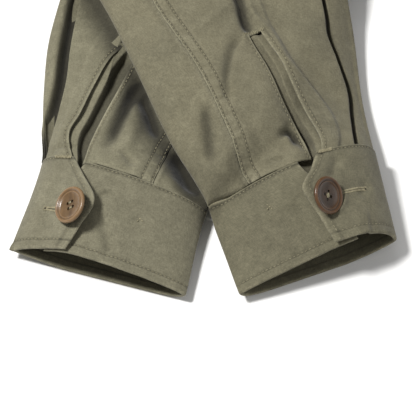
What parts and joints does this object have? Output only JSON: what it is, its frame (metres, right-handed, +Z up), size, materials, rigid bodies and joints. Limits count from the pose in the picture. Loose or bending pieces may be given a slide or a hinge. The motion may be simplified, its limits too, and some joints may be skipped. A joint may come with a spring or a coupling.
{
  "type": "field jacket",
  "caption": "Olive cotton field jacket lying on its back, folded in half, both sleeves crossed over the front, with buttoned cuffs and sleeve vents",
  "frame": {"origin": "under the middle of the whole garment's box, on the surface that it lies on", "axes": "+Z up out of the surface, -Y towards the cuffs, +X towards the wearer's left side"},
  "size_m": [0.54, 0.66, 0.0718],
  "materials": {
    "cotton": "matte cotton sateen, washed olive",
    "cuff_cotton": "matte cotton sateen, washed olive, double layer",
    "button": "satin brown four-hole button"
  },
  "bodies": {
    "root": {"sleeve_top_left": "cotton", "sleeve_under_left": "cotton", "vent_gusset_left": "cotton", "cuff_left": "cuff_cotton", "button_cuff_left": "button", "sleeve_top_right": "cotton", "sleeve_under_right": "cotton", "vent_gusset_right": "cotton", "cuff_right": "cuff_cotton", "button_cuff_right": "button", "front_left": "cotton", "front_right": "cotton", "back": "cotton", "collar": "cotton", "button_front_1": "button", "button_front_2": "button"}
  },
  "joints": []
}
